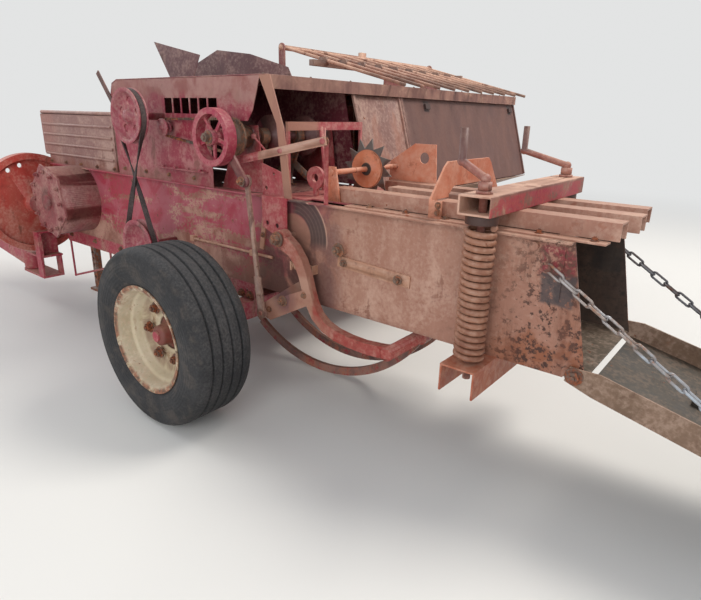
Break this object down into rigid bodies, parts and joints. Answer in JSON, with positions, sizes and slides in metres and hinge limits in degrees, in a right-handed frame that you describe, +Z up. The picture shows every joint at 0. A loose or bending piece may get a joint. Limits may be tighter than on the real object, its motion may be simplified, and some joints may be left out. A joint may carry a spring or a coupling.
{
  "type": "square baler",
  "caption": "Side-fed square baler: long bale chamber with tension springs and chute, twine knotters with curved needles, feeder housing, pickup, flywheel, tongue and two wheels.",
  "frame": {"origin": "middle of the machine's plan at ground level", "axes": "+X to the machine's front (the tongue), +Y to its left, +Z up"},
  "size_m": [5.4042, 2.743, 1.504],
  "materials": {
    "tan_paint": "faded pink-tan paint, dusty, with rust",
    "red_paint": "faded crimson paint with worn patches",
    "orange_paint": "sun-faded orange paint",
    "cream_paint": "old cream paint with rust",
    "bare_steel": "dull, worn and rusty",
    "tyre": "dusty black rubber",
    "belt_rubber": "dull black"
  },
  "bodies": {
    "frame": {"chamber_left_wall": "tan_paint", "chamber_right_wall": "tan_paint", "chamber_floor": "red_paint", "chamber_top": "red_paint", "top_rails": "tan_paint", "knotter_frame": "red_paint", "star_posts": "orange_paint", "knotter_heads": "bare_steel", "arch_bracket": "orange_paint", "tension_beams": "tan_paint", "tension_springs": "tan_paint", "tension_cranks": "tan_paint", "main_frame": "red_paint", "axle": "red_paint", "parking_stand": "bare_steel", "gearbox_housing": "red_paint", "twine_box": "tan_paint", "feeder_end_panels": "red_paint", "feeder_rear_panels": "tan_paint", "feeder_hood": "red_paint", "feeder_deck": "bare_steel", "feeder_shields": "red_paint", "belt_pulleys": "red_paint", "drive_belt": "belt_rubber", "knotter_chain": "bare_steel", "needle_latch": "tan_paint", "plunger": "red_paint"},
    "left_wheel": {"left_tyre": "tyre", "left_rim": "cream_paint"},
    "right_wheel": {"right_tyre": "tyre", "right_rim": "cream_paint"},
    "fly": {"flywheel": "red_paint"},
    "tongue_arm": {"tongue": "red_paint"},
    "drive_shaft": {"pto_shaft": "bare_steel"},
    "pickup": {"pickup_frame": "red_paint", "pickup_bands": "red_paint"},
    "reel": {"pickup_reel": "bare_steel"},
    "gauge": {"gauge_wheel": "bare_steel"},
    "guard": {"wind_guard": "tan_paint"},
    "knotter_drive": {"knotter_wheel": "red_paint"},
    "link": {"lift_link": "tan_paint"},
    "yoke": {"needle_yoke": "red_paint"},
    "star": {"star_wheel": "orange_paint"},
    "chute_bed": {"chute": "tan_paint"},
    "chains": {"chute_chains": "bare_steel"},
    "lid": {"twine_lid": "tan_paint"},
    "rake": {"feeder_rake": "bare_steel"}
  },
  "joints": [
    {"name": "left_wheel_spin", "type": "hinge", "parent": "frame", "child": "left_wheel", "pos_m": [-0.57883, 1.2485, 0.343], "axis": [0, 1, 0], "continuous": true},
    {"name": "right_wheel_spin", "type": "hinge", "parent": "frame", "child": "right_wheel", "pos_m": [-0.57883, -1.2415, 0.315], "axis": [0, 1, 0], "continuous": true},
    {"name": "flywheel_spin", "type": "hinge", "parent": "frame", "child": "fly", "pos_m": [1.18917, 0.9735, 0.61], "axis": [1, 0, 0], "continuous": true},
    {"name": "tongue_swing", "type": "hinge", "parent": "frame", "child": "tongue_arm", "pos_m": [1.32617, 0.9735, 0.243], "axis": [0, 0, -1], "range_deg": [0, 30]},
    {"name": "drive_shaft_spin", "type": "hinge", "parent": "tongue_arm", "child": "drive_shaft", "pos_m": [1.32617, 0.9735, 0.61], "axis": [1, 0, 0], "continuous": true},
    {"name": "pickup_lift", "type": "hinge", "parent": "frame", "child": "pickup", "pos_m": [0.14617, -0.4415, 0.44], "axis": [0, -1, 0], "range_deg": [0, 12]},
    {"name": "reel_spin", "type": "hinge", "parent": "pickup", "child": "reel", "pos_m": [0.38117, -0.4415, 0.372], "axis": [0, 1, 0], "continuous": true},
    {"name": "gauge_wheel_spin", "type": "hinge", "parent": "pickup", "child": "gauge", "pos_m": [0.30117, -1.1815, 0.17], "axis": [0, 1, 0], "continuous": true},
    {"name": "wind_guard_swing", "type": "hinge", "parent": "frame", "child": "guard", "pos_m": [-0.07883, -0.5995, 1.47], "axis": [0, 1, 0], "range_deg": [0, 200]},
    {"name": "knotter_turn", "type": "hinge", "parent": "frame", "child": "knotter_drive", "pos_m": [-0.57883, 0.6085, 1.054], "axis": [0, -1, 0], "range_deg": [0, 180]},
    {"name": "link_swing", "type": "hinge", "parent": "yoke", "child": "link", "pos_m": [-0.76264, 0.9485, 0.38538], "axis": [0, 1, 0], "range_deg": [0, 73.9]},
    {"name": "yoke_swing", "type": "hinge", "parent": "frame", "child": "yoke", "pos_m": [-0.85883, 0.6085, 0.7], "axis": [0, -1, 0], "range_deg": [0, 72]},
    {"name": "star_spin", "type": "hinge", "parent": "frame", "child": "star", "pos_m": [-1.01283, 0.6085, 0.948], "axis": [0, 1, 0], "continuous": true},
    {"name": "chute_fold", "type": "hinge", "parent": "frame", "child": "chute_bed", "pos_m": [-1.95383, 0.6085, 0.469], "axis": [0, 1, 0], "range_deg": [0, 90]},
    {"name": "chains_hang", "type": "hinge", "parent": "frame", "child": "chains", "pos_m": [-1.84883, 0.6085, 0.768], "axis": [0, -1, 0], "range_deg": [0, 57]},
    {"name": "lid_open", "type": "hinge", "parent": "frame", "child": "lid", "pos_m": [0.79617, 0.3785, 1.118], "axis": [1, 0, 0], "range_deg": [0, 95]},
    {"name": "rake_travel", "type": "slide", "parent": "frame", "child": "rake", "axis": [0, 1, 0], "range_m": [-0.25, 0.2]}
  ],
  "couplings": [
    {"joint": "link_swing", "follows": "knotter_turn", "ratio": 0.4101},
    {"joint": "yoke_swing", "follows": "knotter_turn", "ratio": 0.4},
    {"joint": "chains_hang", "follows": "chute_fold", "ratio": 0.6333}
  ]
}
